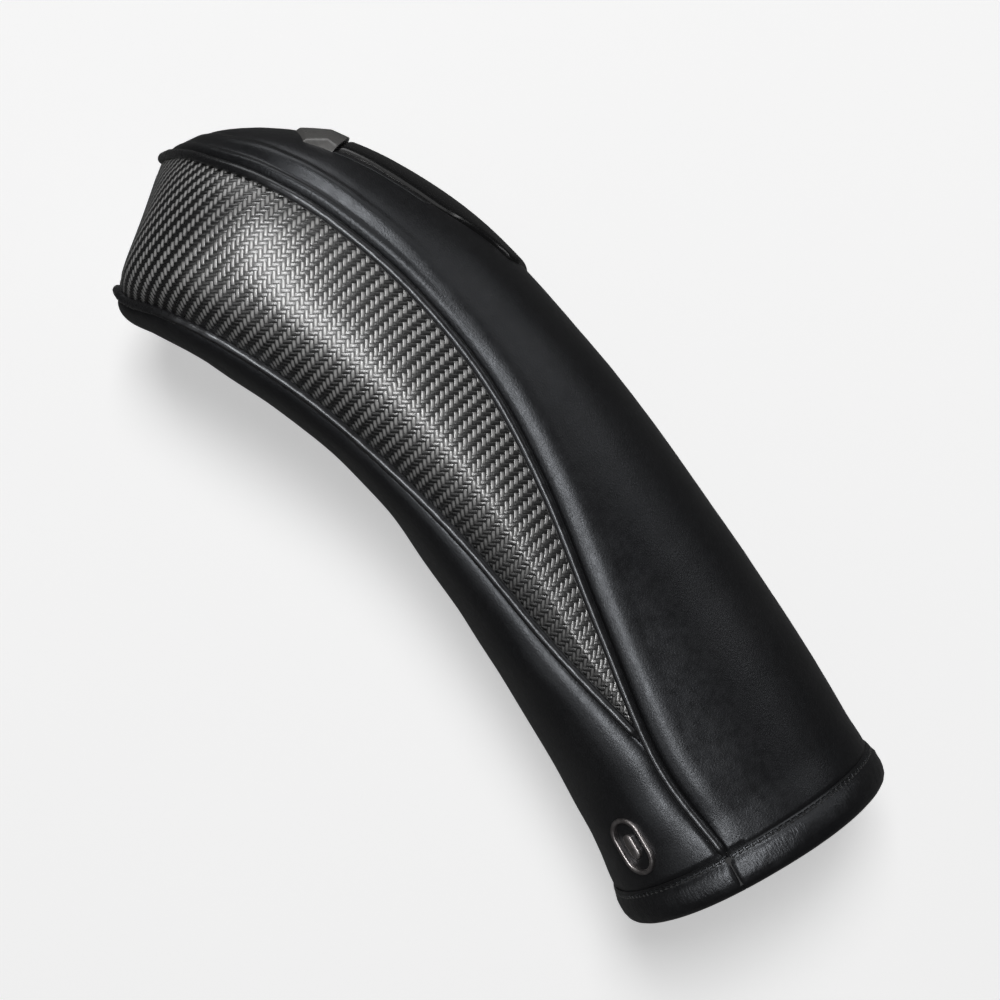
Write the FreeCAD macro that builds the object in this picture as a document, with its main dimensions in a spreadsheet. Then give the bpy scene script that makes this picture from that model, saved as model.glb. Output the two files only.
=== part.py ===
import FreeCAD, Part
import Sketcher
import math
import os

# Padded driver head cover lying on its side: millimetres, +X towards the open mouth,
# +Y towards the convex crown, +Z up. The cover is the same above and below z = 0
# while it is built, and it is lifted onto the ground plane at the very end.

V = FreeCAD.Vector
doc = FreeCAD.newDocument("HeadCover")

# ---------------------------------------------------------------- driving dimensions

SIZES = {
    "skin_thickness": 1.2,
    "foam_thickness": 1.8,
    "lining_thickness": 1.8,
    "layer_gap": 0.1,
    "seam_gap": 3.8,
    "inner_seam_gap": 0.6,
    "piping_diameter": 3.4,
    "piping_sunk": 1.0,
    "piping_core_diameter": 2.0,
    "core_clearance": 0.05,
    "mouth_setback": 1.7,
    "cuff_width": 12.5,
    "cuff_leather": 0.9,
    "webbing_thickness": 1.2,
    "cuff_turn_in": 1.2,
    "cuff_notch": 0.8,
    "elastic_width": 24.0,
    "elastic_thickness": 0.8,
    "elastic_from_mouth": 30.0,
    "plate_thickness": 1.6,
    "plate_gap": 0.2,
    "prism_height": 90.0,
    "cap_thickness": 2.4,
    "badge_length": 21.0,
    "badge_width": 14.0,
    "badge_rim": 1.7,
    "badge_thickness": 1.6,
    "badge_heart_length": 9.0,
    "badge_heart_width": 4.2,
    "badge_post_diameter": 1.5,
    "badge_post_length": 1.6,
    "retainer_thickness": 0.8,
    "retainer_length": 20.6,
    "retainer_width": 7.0,
    "stitch_length": 3.2,
    "stitch_diameter": 0.7,
    "stitch_pitch": 4.9,
}


def make_sheet():
    """Spreadsheet of the driving dimensions, one alias for each."""
    table = doc.addObject("Spreadsheet::Sheet", "Sizes")
    for row, (alias, value) in enumerate(SIZES.items(), start=1):
        table.set("A%d" % row, alias)
        table.set("B%d" % row, str(value))
        table.setAlias("B%d" % row, alias)
    doc.recompute()
    return table


sheet = make_sheet()


def size(alias):
    """Value of one cell of the sheet."""
    return float(sheet.get(alias))


# ------------------------------------------------------------------ shape of the cover

# Twelve stations from the toe to the mouth. Each is a section square to the XY plane: its
# crown end, under end, half thickness, the power that squares off its outline, and the
# places of the two side seams as fractions of the half height (+1 crown, -1 under).
STATIONS = [
    # crown x, y       under x, y       half   power  upper   lower seam
    (-167.6, 3.2, -144.6, -40.6, 3.0, 3.6, 1.0, -1.0),
    (-162.2, 16.8, -141.8, -42.4, 28.5, 3.4, 0.72, -0.94),
    (-151.0, 32.6, -134.0, -43.8, 44.0, 3.0, 0.51, -0.90),
    (-132.4, 47.0, -120.0, -40.4, 55.5, 2.8, 0.41, -0.84),
    (-106.2, 58.6, -96.0, -35.0, 59.8, 2.8, 0.34, -0.80),
    (-70.0, 65.6, -64.0, -29.2, 59.4, 2.8, 0.26, -0.79),
    (-28.0, 64.8, -30.0, -27.8, 57.0, 2.7, 0.18, -0.76),
    (14.3, 60.8, 4.0, -32.6, 55.0, 2.6, 0.03, -0.66),
    (66.0, 52.2, 48.0, -41.6, 53.5, 2.5, -0.20, -0.55),
    (116.0, 42.2, 94.0, -53.6, 54.5, 2.4, -0.355, -0.33),
    (151.0, 33.0, 127.0, -64.4, 56.5, 2.3, -0.25, -0.20),
    (166.0, 28.8, 140.8, -68.4, 58.1, 2.2, -0.23, -0.10),
]
SPANS = len(STATIONS) - 1
JUNCTION = 0.802           # where the lower seam runs into the upper one, 0 toe to 1 mouth
TOE_RADIUS = 60.0          # rounding of the toe seen from the crown


def smooth(column, w, mirrored=True):
    """Catmull-Rom value of one station column at w, 0 at the toe and 1 at the mouth."""
    values = [station[column] for station in STATIONS]
    before = values[1] if mirrored else 2 * values[0] - values[1]
    after = 2 * values[-1] - values[-2]
    values = [before] + values + [after]
    if w > 1.0:
        return values[-2] + (w - 1.0) * SPANS * (values[-2] - values[-3])
    place = min(w * SPANS, SPANS - 1e-9)
    index = int(place)
    f = place - index
    a, b, c, d = values[index:index + 4]
    return 0.5 * (2 * b + (c - a) * f + (2 * a - 5 * b + 4 * c - d) * f ** 2
                  + (3 * b - a - 3 * c + d) * f ** 3)


def section(w, inset):
    """Centre, half-height vector, half thickness and power of the section at w."""
    crown = V(smooth(0, w), smooth(1, w), 0)
    under = V(smooth(2, w), smooth(3, w), 0)
    half = smooth(4, w, mirrored=False)
    centre = (crown + under) * 0.5
    up = (crown - under) * 0.5
    height = up.Length
    up.normalize()
    inwards = V(up.y, -up.x, 0)
    slope = min(1.0, half / TOE_RADIUS)
    lean = math.sqrt(1.0 - slope ** 2) if w < 0.5 else 0.0
    rise = slope if w < 0.4 else 1.0
    centre = centre + inwards * (inset * lean)
    return centre, up * (height - inset), half - inset * rise, smooth(5, w)


def ring_point(w, angle, inset):
    """Point of the offset surface: angle 0 is the crown line, 90 degrees the near side."""
    centre, up, half, power = section(w, inset)
    c = math.cos(angle)
    s = math.sin(angle)
    rho = (abs(c) ** power + abs(s) ** power) ** (-1.0 / power)
    return centre + up * (c * rho) + V(0, 0, half * s * rho)


def side_point(w, n, inset):
    """Near-side point of the offset surface at the height fraction n."""
    centre, up, half, power = section(w, inset)
    depth = max(0.0, 1.0 - abs(n) ** power) ** (1.0 / power)
    return centre + up * n + V(0, 0, half * depth)


W_STEPS = 44
RING_STEPS = 20
OVERRUN_STEPS = 2


def envelope(name, inset):
    """Closed solid inside the offset surface; it runs on past the mouth."""
    rows = []
    for i in range(W_STEPS + OVERRUN_STEPS + 1):
        w = i / W_STEPS
        rows.append([ring_point(w, math.pi * j / RING_STEPS, inset) for j in range(RING_STEPS + 1)])
    surface = Part.BSplineSurface()
    surface.interpolate(rows)
    faces = [surface.toShape()]
    faces.append(faces[0].mirror(V(0, 0, 0), V(0, 0, 1)))
    for end in surface.bounds()[:2]:
        near_rim = surface.uIso(end).toShape()
        far_rim = near_rim.mirror(V(0, 0, 0), V(0, 0, 1))
        faces.append(Part.Face(Part.Wire([near_rim, far_rim])))
    shell = Part.makeShell(faces)
    shell.sewShape()
    solid = Part.Solid(shell)
    if solid.Volume < 0:
        solid.reverse()
    feature = doc.addObject("Part::Feature", name)
    feature.Shape = solid
    return feature


# ------------------------------------------------------------------- mouth and its planes

CROWN_RIM = V(STATIONS[-1][0], STATIONS[-1][1], 0)
UNDER_RIM = V(STATIONS[-1][2], STATIONS[-1][3], 0)
MOUTH_CENTRE = (CROWN_RIM + UNDER_RIM) * 0.5
MOUTH_UP = (CROWN_RIM - UNDER_RIM).normalize()
MOUTH_OUT = V(MOUTH_UP.y, -MOUTH_UP.x, 0)
MOUTH_TURN = math.degrees(math.atan2(MOUTH_OUT.y, MOUTH_OUT.x))
REACH = 400.0              # longer than the cover
SPREAD = 200.0             # wider than the cover


def mouth_slab(name, nearest, depth=None):
    """Box square to the mouth that starts `nearest` mm inside the rim and runs back from it."""
    slab = doc.addObject("Part::Box", name)
    slab.Length = REACH
    slab.Width = SPREAD
    slab.Height = SPREAD
    if depth:
        slab.setExpression("Length", depth)
        slab.recompute()
    turn = FreeCAD.Rotation(V(0, 0, 1), MOUTH_TURN)
    corner = turn.multVec(V(-nearest - slab.Length.Value, -SPREAD / 2, 0)) + V(0, 0, -SPREAD / 2)
    slab.Placement = FreeCAD.Placement(MOUTH_CENTRE + corner, turn)
    return slab


def behind_mouth(point):
    """Distance of a point behind the mouth plane."""
    return (MOUTH_CENTRE - point).dot(MOUTH_OUT)


# ------------------------------------------------------------------ seam lines and zones

PIPING_RUN = 13.0          # length of one straight run of a piping
TANGENT_SHARE = 0.45       # part of a run that each of its two arcs takes
UPPER = 6                  # columns of STATIONS
LOWER = 7


def seam_stations(column, last, inset):
    """Values of w from `last` down to the toe, evenly spaced along the seam on the surface."""
    fine = 400
    ws = [last * (1.0 - i / fine) for i in range(fine + 1)]
    points = [side_point(w, smooth(column, w), inset) for w in ws]
    reach = [0.0]
    for a, b in zip(points, points[1:]):
        reach.append(reach[-1] + (b - a).Length)
    runs = round(reach[-1] / PIPING_RUN)
    chosen = []
    for i in range(runs + 1):
        target = reach[-1] * i / runs
        nearest = min(range(len(ws)), key=lambda k: abs(reach[k] - target))
        chosen.append(ws[nearest])
    return chosen


def corner_arc(before, corner, after, share, grow=0.0):
    """Start, middle and end of the tangent arc at one corner of a path, or None if straight."""
    u = (corner - before).normalize()
    v = (after - corner).normalize()
    turn = u.getAngle(v)
    if turn < 0.004:
        return None
    reach = TANGENT_SHARE * share
    radius = reach / math.tan(turn / 2) + grow
    reach = radius * math.tan(turn / 2)
    inward = (v - u).normalize()
    sag = radius * (1.0 / math.cos(turn / 2) - 1.0)
    return corner - u * reach, corner + inward * sag, corner + v * reach


def rounded_edges(points, shares, grows):
    """Straight runs joined by tangent arcs through a list of corner points."""
    edges = []
    start = points[0]
    for i in range(1, len(points) - 1):
        arc = corner_arc(points[i - 1], points[i], points[i + 1], shares[i], grows[i])
        if arc is None:
            continue
        first, middle, last = arc
        edges.append(Part.LineSegment(start, first).toShape())
        edges.append(Part.Arc(first, middle, last).toShape())
        start = last
    edges.append(Part.LineSegment(start, points[-1]).toShape())
    return edges


def shorter_runs(points):
    """For each corner, the shorter of the two runs that meet there."""
    runs = [(b - a).Length for a, b in zip(points, points[1:])]
    return [runs[0]] + [min(a, b) for a, b in zip(runs, runs[1:])] + [runs[-1]]


def plan_edges(points, offset):
    """Corner points beside a seam, with the run and the radius change for each one's arc.

    Positive offsets lie on the crown side of the seam.
    """
    shares = shorter_runs(points)
    moved = []
    grows = []
    for i, point in enumerate(points):
        before = points[max(i - 1, 0)]
        after = points[min(i + 1, len(points) - 1)]
        u = (point - before) if i else (after - point)
        v = (after - point) if i < len(points) - 1 else (point - before)
        u.normalize()
        v.normalize()
        left_u = V(-u.y, u.x, 0)
        left_v = V(-v.y, v.x, 0)
        mitre = (left_u + left_v) * (1.0 / (1.0 + left_u.dot(left_v)))
        moved.append(point + mitre * offset)
        bend = u.cross(v).z
        grows.append(-offset if bend > 0 else offset)
    return moved, shares, grows


def seam_plan(column, first=0.0, last=1.0):
    """Corner points of a seam seen from the side, toe end first."""
    sunk = size("piping_sunk")
    ws = [w for w in reversed(seam_stations(column, 1.0, sunk)) if first <= w <= last]
    points = []
    for w in ws:
        flat = side_point(w, smooth(column, w), sunk)
        points.append(V(flat.x, flat.y, 0))
    return points


def extended(points, toe_by=30.0, mouth_by=30.0):
    """The same points, carried straight on at both ends."""
    toe = points[0] + (points[0] - points[1]).normalize() * toe_by
    mouth = points[-1] + (points[-1] - points[-2]).normalize() * mouth_by
    return [toe] + points[1:-1] + [mouth]


def zone(name, points, offset, far_y):
    """Prism through the whole thickness on one side of a seam."""
    moved, shares, grows = plan_edges(points, offset)
    edges = rounded_edges(moved, shares, grows)
    a = moved[0]
    b = moved[-1]
    corners = [b, V(b.x, far_y, 0), V(a.x, far_y, 0), a]
    edges += [Part.LineSegment(p, q).toShape() for p, q in zip(corners, corners[1:])]
    face = Part.Face(Part.Wire(edges))
    prism = doc.addObject("Part::Feature", name)
    prism.Shape = face.extrude(V(0, 0, SPREAD)).translated(V(0, 0, -SPREAD / 2))
    return prism


def boolean(kind, name, *parts):
    """Part boolean as a document object: Cut or Common of two parts, or MultiFuse of several."""
    result = doc.addObject("Part::" + kind, name)
    if kind == "MultiFuse":
        result.Shapes = list(parts)
    else:
        result.Base, result.Tool = parts
    return result


upper_line = extended(seam_plan(UPPER))
lower_line = extended(seam_plan(LOWER, last=JUNCTION - 0.01), mouth_by=60.0)
under_line = extended(seam_plan(LOWER, last=JUNCTION - 0.01) + seam_plan(UPPER, first=JUNCTION + 0.01))


def zones(tag, gap):
    """Crown, gusset and under zones, kept `gap` apart along the seams."""
    crown = zone("CrownZone" + tag, upper_line, gap / 2, SPREAD)
    below = zone("BelowUpper" + tag, upper_line, -gap / 2, -SPREAD)
    above = zone("AboveLower" + tag, lower_line, gap / 2, SPREAD)
    gusset = boolean("Common", "GussetZone" + tag, below, above)
    under = zone("UnderZone" + tag, under_line, -gap / 2, -SPREAD)
    return {"crown": crown, "gusset": gusset, "under": under}


# --------------------------------------------------------------------- layers of the wall

gap = size("layer_gap")
skin_in = size("skin_thickness")
foam_out = skin_in + gap
foam_in = foam_out + size("foam_thickness")
lining_out = foam_in + gap
lining_in = lining_out + size("lining_thickness")
turn_in_out = lining_in + gap
turn_in_in = turn_in_out + size("cuff_turn_in")
webbing_in = -gap
webbing_out = webbing_in - size("webbing_thickness")
cuff_out = webbing_out - size("cuff_leather")

subparts = []


def named(feature, label):
    """Registers one physical piece of the cover under its node name."""
    feature.Label = label
    subparts.append(feature)
    return feature


def panels(layer, outer_inset, inner_inset, sides, groove=None):
    """Splits one layer of the wall into its pieces, trimmed behind the mouth.

    Part's exact booleans are used here, because the tolerance that the document's own
    booleans add loses the inner face of the thin wall at the toe.
    """
    doc.recompute()
    outside = envelope(layer + "Outside", outer_inset)
    inside = envelope(layer + "Inside", inner_inset)
    pieces = {}
    for side, prism in sides.items():
        block = outside.Shape.common(prism.Shape)
        if side != "gusset":
            block = block.common(short_of_mouth.Shape)
        wall = block.cut(inside.Shape)
        if wall.Volume > block.Volume / 2:
            raise RuntimeError("the %s wall was not hollowed out" % side)
        if groove:
            wall = wall.cut(groove.Shape)
        pieces[side] = doc.addObject("Part::Feature", side.title() + layer)
        pieces[side].Shape = wall
    return pieces


skin_zones = zones("Outer", size("seam_gap"))
lining_zones = zones("Inner", size("inner_seam_gap"))
short_of_mouth = mouth_slab("ShortOfMouth", size("mouth_setback"))

# The elastic lies in a shallow channel on the inner face of the foam, round the neck.
elastic_out = foam_in - size("elastic_thickness")
elastic_start = size("elastic_from_mouth") - size("elastic_width") / 2
elastic_slab = mouth_slab("ElasticSlab", elastic_start, "Sizes.elastic_width")
channel_slab = mouth_slab("ChannelSlab", elastic_start - gap,
                          "Sizes.elastic_width + 2 * Sizes.layer_gap")
elastic_block = envelope("ElasticOutside", elastic_out)
channel_block = envelope("ChannelOutside", elastic_out - gap / 2)
channel = boolean("Common", "Channel", channel_block, channel_slab)
elastic_ring = boolean("Cut", "ElasticRing", elastic_block, envelope("ElasticInside", foam_in))
neck_elastic = named(boolean("Common", "NeckElastic", elastic_ring, elastic_slab), "neck_elastic")

skin = panels("Skin", 0.0, skin_in, skin_zones)
foam = panels("Foam", foam_out, foam_in, skin_zones, channel)
lining = panels("Lining", lining_out, lining_in, lining_zones)


# ------------------------------------------------------------------------ mouth cuff

def make_cuffs():
    """Leather binding folded over the rim, in two halves, with webbing in its outer fold."""
    outside = envelope("CuffOutside", cuff_out)
    inside = envelope("CuffInside", turn_in_in)
    slab = mouth_slab("CuffSlab", 0.0, "Sizes.cuff_width")
    wall = boolean("Cut", "CuffWall", outside, inside)
    block = boolean("Common", "CuffBlock", wall, slab)
    wall_room = boolean("Cut", "WallRoom", envelope("RoomOutside", webbing_in),
                        envelope("RoomInside", turn_in_out))
    behind = mouth_slab("BehindFold", size("mouth_setback") - gap)
    room = boolean("Common", "Room", wall_room, behind)
    folded = boolean("Cut", "FoldedCuff", block, room)
    web_ring = boolean("Cut", "WebRing", envelope("WebOutside", webbing_out),
                       envelope("WebInside", webbing_in))
    web_slab = mouth_slab("WebSlab", size("mouth_setback"),
                          "Sizes.cuff_width - Sizes.mouth_setback - Sizes.cuff_leather")
    webbing = boolean("Common", "WebbingRoom", web_ring, web_slab)
    hollow = boolean("Cut", "HollowCuff", folded, webbing)
    crown = boolean("Common", "CrownCuff", hollow, notch_zones["crown"])
    under = boolean("Common", "UnderCuff", hollow, notch_zones["under"])
    named(boolean("Common", "CuffWebbing", web_ring, web_slab), "cuff_webbing")
    named(crown, "crown_cuff")
    named(under, "under_cuff")


notch_zones = zones("Notch", size("cuff_notch"))
make_cuffs()


# --------------------------------------------------------------------------- pipings

def station_behind_mouth(column, distance):
    """Value of w where a seam is `distance` behind the mouth plane."""
    low, high = JUNCTION, 1.0
    for _ in range(40):
        middle = (low + high) / 2
        if behind_mouth(side_point(middle, smooth(column, middle), 0.0)) > distance:
            low = middle
        else:
            high = middle
    return low


def piping_route(column, last):
    """Corner points of a piping: near side towards the toe, round it, and back below."""
    sunk = size("piping_sunk")
    near = [side_point(w, smooth(column, w), sunk) for w in seam_stations(column, last, sunk)]
    far = [V(p.x, p.y, -p.z) for p in reversed(near[:-1])]
    return near + far


def tube(name, route, diameter):
    """Round rod along a route of straight runs and tangent arcs."""
    edges = rounded_edges(route, shorter_runs(route), [0.0] * len(route))
    path = Part.Wire(edges)
    start = route[0]
    direction = route[1] - route[0]
    ring = Part.Wire(Part.makeCircle(diameter / 2, start, direction))
    rod = path.makePipeShell([ring], True, False)
    expected = math.pi * diameter ** 2 / 4 * path.Length
    print("%s: length %.1f mm, volume %.0f, expected %.0f" % (name, path.Length, rod.Volume, expected))
    feature = doc.addObject("Part::Feature", name)
    feature.Shape = rod
    return feature


def make_piping(tag, label, route, blocked_by=None):
    """Leather-covered cord: a cover tube with a cord core inside."""
    core_size = size("piping_core_diameter")
    outer = tube(tag + "Rod", route, size("piping_diameter"))
    bore = tube(tag + "Bore", route, core_size)
    core = tube(tag + "Core", route, core_size - 2 * size("core_clearance"))
    cover = boolean("Cut", tag + "Cover", outer, bore)
    if blocked_by:
        cover = boolean("Cut", tag + "CoverCut", cover, blocked_by)
        core = boolean("Cut", tag + "CoreCut", core, blocked_by)
    named(cover, label + "_piping_cover")
    named(core, label + "_piping_cord")
    return outer


upper_last = station_behind_mouth(UPPER, size("cuff_width") + 2 * gap)
upper_rod = make_piping("Upper", "upper", piping_route(UPPER, upper_last))
make_piping("Lower", "lower", piping_route(LOWER, JUNCTION - 0.004), upper_rod)


# ------------------------------------------------------------------ sketches and bodies

def body_with_sketch(name, plane_role):
    """PartDesign body holding one sketch on one of its own origin planes."""
    body = doc.addObject("PartDesign::Body", name)
    doc.recompute()
    return body, add_sketch(body, name + "Sketch", plane_role)


def add_sketch(body, name, plane_role):
    """Sketch attached to an origin plane of its body."""
    sketch = body.newObject("Sketcher::SketchObject", name)
    plane = [p for p in body.Origin.OriginFeatures if p.Role == plane_role][0]
    sketch.AttachmentSupport = [(plane, "")]
    sketch.MapMode = "FlatFace"
    return sketch


def closed_outline(sketch, points):
    """Closed polygon with every corner dimensioned from the origin."""
    count = len(points)
    for i in range(count):
        sketch.addGeometry(Part.LineSegment(V(*points[i], 0), V(*points[(i + 1) % count], 0)), False)
    for i in range(count):
        sketch.addConstraint(Sketcher.Constraint("Coincident", i, 2, (i + 1) % count, 1))
        x, y = points[i]
        sketch.addConstraint(Sketcher.Constraint("DistanceX", -1, 1, i, 1, x))
        sketch.addConstraint(Sketcher.Constraint("DistanceY", -1, 1, i, 1, y))


def stadium(sketch, length, width):
    """Elongated oval about the origin; both sizes are expressions on the sheet."""
    first = sketch.GeometryCount
    half = 4.0
    radius = 2.0
    right, left, top, bottom = first, first + 1, first + 2, first + 3
    circle = Part.Circle(V(half, 0, 0), V(0, 0, 1), radius)
    sketch.addGeometry(Part.ArcOfCircle(circle, -math.pi / 2, math.pi / 2), False)
    circle = Part.Circle(V(-half, 0, 0), V(0, 0, 1), radius)
    sketch.addGeometry(Part.ArcOfCircle(circle, math.pi / 2, 3 * math.pi / 2), False)
    sketch.addGeometry(Part.LineSegment(V(half, radius, 0), V(-half, radius, 0)), False)
    sketch.addGeometry(Part.LineSegment(V(-half, -radius, 0), V(half, -radius, 0)), False)
    sketch.addConstraint([
        Sketcher.Constraint("Tangent", right, 2, top, 1),
        Sketcher.Constraint("Tangent", top, 2, left, 1),
        Sketcher.Constraint("Tangent", left, 2, bottom, 1),
        Sketcher.Constraint("Tangent", bottom, 2, right, 1),
        Sketcher.Constraint("Equal", right, left),
        Sketcher.Constraint("Symmetric", right, 3, left, 3, -1, 1),
        Sketcher.Constraint("PointOnObject", right, 3, -1),
    ])
    spread = sketch.addConstraint(Sketcher.Constraint("DistanceX", left, 3, right, 3, 2 * half))
    round_end = sketch.addConstraint(Sketcher.Constraint("Radius", right, radius))
    sketch.setExpression("Constraints[%d]" % spread, "(%s) - (%s)" % (length, width))
    sketch.setExpression("Constraints[%d]" % round_end, "(%s) / 2" % width)


def circles(sketch, centres, diameter):
    """Circles along the sketch's X axis; the diameter is an expression on the sheet."""
    for x in centres:
        ring = sketch.addGeometry(Part.Circle(V(x, 0, 0), V(0, 0, 1), 1.0), False)
        sketch.addConstraint(Sketcher.Constraint("PointOnObject", ring, 3, -1))
        sketch.addConstraint(Sketcher.Constraint("DistanceX", -1, 1, ring, 3, x))
        wide = sketch.addConstraint(Sketcher.Constraint("Radius", ring, 1.0))
        sketch.setExpression("Constraints[%d]" % wide, "(%s) / 2" % diameter)


def pad(body, sketch, name, length, downwards=False):
    """Pad of a sketch; the length is an expression on the sheet."""
    feature = body.newObject("PartDesign::Pad", name)
    feature.Profile = sketch
    feature.setExpression("Length", length)
    feature.Reversed = downwards
    doc.recompute()
    return feature


# ----------------------------------------------------- crown plate and its end cap

def mirrored_outline(half):
    """Outline from its upper half, given from one end to the other, with both ends on the axis."""
    return half + [(x, -y) for x, y in reversed(half[1:-1])]


PLATE_HALF = [(-124.0, 0.0), (-119.0, 41.0), (-60.0, 43.0), (-50.0, 28.0), (-47.5, 0.0)]
CAP_HALF = [(-138.5, 0.0), (-136.0, 27.0), (-129.0, 42.0), (-119.1, 44.5), (-124.5, 0.0)]


def crown_piece(tag, label, half, thickness):
    """Plate that follows the crown, cut out by a prism standing on its plan outline."""
    body, sketch = body_with_sketch(tag + "Prism", "XZ_Plane")
    closed_outline(sketch, mirrored_outline(half))
    pad(body, sketch, tag + "Pad", "Sizes.prism_height", downwards=True)
    raised = size("plate_gap")
    plate = boolean("Cut", tag + "Shell", envelope(tag + "Top", -raised - thickness),
                    envelope(tag + "Seat", -raised))
    named(boolean("Common", tag, plate, body), label)


crown_piece("CrownPlate", "crown_plate", PLATE_HALF, size("plate_thickness"))
crown_piece("EndCap", "plate_end_cap", CAP_HALF, size("cap_thickness"))


# ------------------------------------------------------------------------------- badge

BADGE_W = 0.868            # place of the badge along the cover
BADGE_N = -0.75            # and down its near side
BADGE_HEADING = V(0.987, -0.162, 0)


def badge_frame():
    """Placement on the under panel: local Z stands out of the leather, X along the badge."""
    here = side_point(BADGE_W, BADGE_N, -gap)
    along = side_point(BADGE_W + 0.002, BADGE_N, -gap) - here
    across = side_point(BADGE_W, BADGE_N + 0.002, -gap) - here
    out = along.cross(across).normalize()
    heading = (BADGE_HEADING - out * BADGE_HEADING.dot(out)).normalize()
    return FreeCAD.Placement(here, FreeCAD.Rotation(heading, out.cross(heading), out, "ZXY"))


badge_place = badge_frame()


def make_badge():
    """Plain oval ring on two posts."""
    body, sketch = body_with_sketch("Badge", "XY_Plane")
    stadium(sketch, "Sizes.badge_length", "Sizes.badge_width")
    stadium(sketch, "Sizes.badge_length - 2 * Sizes.badge_rim",
            "Sizes.badge_width - 2 * Sizes.badge_rim")
    pad(body, sketch, "BadgeRing", "Sizes.badge_thickness")
    posts = add_sketch(body, "BadgePostSketch", "XY_Plane")
    reach = (size("badge_length") - size("badge_rim")) / 2
    circles(posts, [-reach, reach], "Sizes.badge_post_diameter")
    pad(body, posts, "BadgePosts", "Sizes.badge_post_length", downwards=True)
    body.Placement = badge_place
    return named(body, "badge_ring")


def make_heart():
    """Small solid oval inside the ring, on one post."""
    body, sketch = body_with_sketch("BadgeHeart", "XY_Plane")
    stadium(sketch, "Sizes.badge_heart_length", "Sizes.badge_heart_width")
    pad(body, sketch, "HeartOval", "Sizes.badge_thickness")
    posts = add_sketch(body, "HeartPostSketch", "XY_Plane")
    circles(posts, [0.0], "Sizes.badge_post_diameter")
    pad(body, posts, "HeartPost", "Sizes.badge_post_length", downwards=True)
    body.Placement = badge_place
    return named(body, "badge_heart")


def make_retainer():
    """Thin plate behind the leather that the badge posts are fixed to."""
    body, sketch = body_with_sketch("Retainer", "XY_Plane")
    stadium(sketch, "Sizes.retainer_length", "Sizes.retainer_width")
    pad(body, sketch, "RetainerPlate", "Sizes.retainer_thickness", downwards=True)
    sunk = V(0, 0, -size("badge_post_length"))
    body.Placement = badge_place.multiply(FreeCAD.Placement(sunk, FreeCAD.Rotation()))
    return named(body, "badge_retainer")


def post_holes():
    """Three clearance holes for the badge posts."""
    depth = 2 * size("badge_post_length")
    reach = (size("badge_length") - size("badge_rim")) / 2
    holes = []
    for i, x in enumerate((-reach, 0.0, reach)):
        hole = doc.addObject("Part::Cylinder", "PostHole%d" % i)
        hole.setExpression("Radius", "Sizes.badge_post_diameter / 2 + Sizes.layer_gap / 2")
        hole.Height = 2 * depth
        lower = FreeCAD.Placement(V(x, 0, -depth), FreeCAD.Rotation())
        hole.Placement = badge_place.multiply(lower)
        holes.append(hole)
    return boolean("MultiFuse", "PostHoles", *holes)


def retainer_pocket():
    """Recess in the outer face of the foam that the retainer lies in."""
    pocket = doc.addObject("Part::Box", "RetainerPocket")
    pocket.setExpression("Length", "Sizes.badge_length + 4 * Sizes.layer_gap")
    pocket.setExpression("Width", "Sizes.retainer_width + 4 * Sizes.layer_gap")
    pocket.Height = 4 * size("retainer_thickness")
    doc.recompute()
    corner = V(-pocket.Length.Value / 2, -pocket.Width.Value / 2,
               -size("badge_post_length") - size("retainer_thickness") - gap)
    pocket.Placement = badge_place.multiply(FreeCAD.Placement(corner, FreeCAD.Rotation()))
    return pocket


make_badge()
make_heart()
make_retainer()
skin["under"] = boolean("Cut", "UnderSkinDrilled", skin["under"], post_holes())
foam["under"] = boolean("Cut", "UnderFoamPocketed", foam["under"], retainer_pocket())

named(skin["crown"], "crown_panel")
named(skin["gusset"], "gusset_band")
named(skin["under"], "under_panel")
for side in ("crown", "gusset", "under"):
    named(foam[side], side + "_foam")
    named(lining[side], side + "_lining")


# ----------------------------------------------------------------------- cuff stitches

STITCH_EDGE = 1.5          # distance of the stitch row from the cuff's upper edge
SEAM_CLEAR = 2.5           # stitches stay this far from the notch between the cuffs


def make_stitches():
    """One row of short round threads lying on the cuff, near its upper edge."""
    radius = size("stitch_diameter") / 2
    inset = cuff_out - radius - gap / 2
    w = station_behind_mouth(UPPER, size("cuff_width") - STITCH_EDGE)
    notch = side_point(w, smooth(UPPER, w), inset)
    fine = 720
    ring = [ring_point(w, 2 * math.pi * i / fine, inset) for i in range(fine + 1)]
    reach = [0.0]
    for a, b in zip(ring, ring[1:]):
        reach.append(reach[-1] + (b - a).Length)
    count = round(reach[-1] / size("stitch_pitch"))
    threads = []
    for i in range(count):
        target = reach[-1] * (i + 0.5) / count
        k = min(range(1, fine), key=lambda j: abs(reach[j] - target))
        here = ring[k]
        if abs((here - notch).dot(MOUTH_UP)) < SEAM_CLEAR and abs(here.z) > abs(notch.z) / 2:
            continue
        along = (ring[k + 1] - ring[k - 1]).normalize()
        start = here - along * (size("stitch_length") / 2)
        threads.append(Part.makeCylinder(radius, size("stitch_length"), start, along))
    feature = doc.addObject("Part::Feature", "CuffStitches")
    feature.Shape = Part.makeCompound(threads)
    return named(feature, "cuff_stitches")


make_stitches()


# --------------------------------------------------------------- placing and exporting

REST = V(0.8, 1.35, 60.3)  # moves the cover onto the ground, centred over the origin


def place(feature):
    """Moves one sub-part from the drawing position to the resting position."""
    move = FreeCAD.Placement(REST, FreeCAD.Rotation())
    feature.Placement = move.multiply(feature.Placement)


doc.recompute()
for feature in subparts:
    place(feature)
doc.recompute()

for item in doc.Objects:
    if "Invalid" in item.State or "Error" in item.State:
        raise RuntimeError("%s did not recompute: %s" % (item.Label, item.State))
for feature in subparts:
    shape = feature.Shape
    if shape.isNull() or not shape.isValid() or shape.Volume < 1.0:
        raise RuntimeError("%s has no valid shape" % feature.Label)

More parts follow.
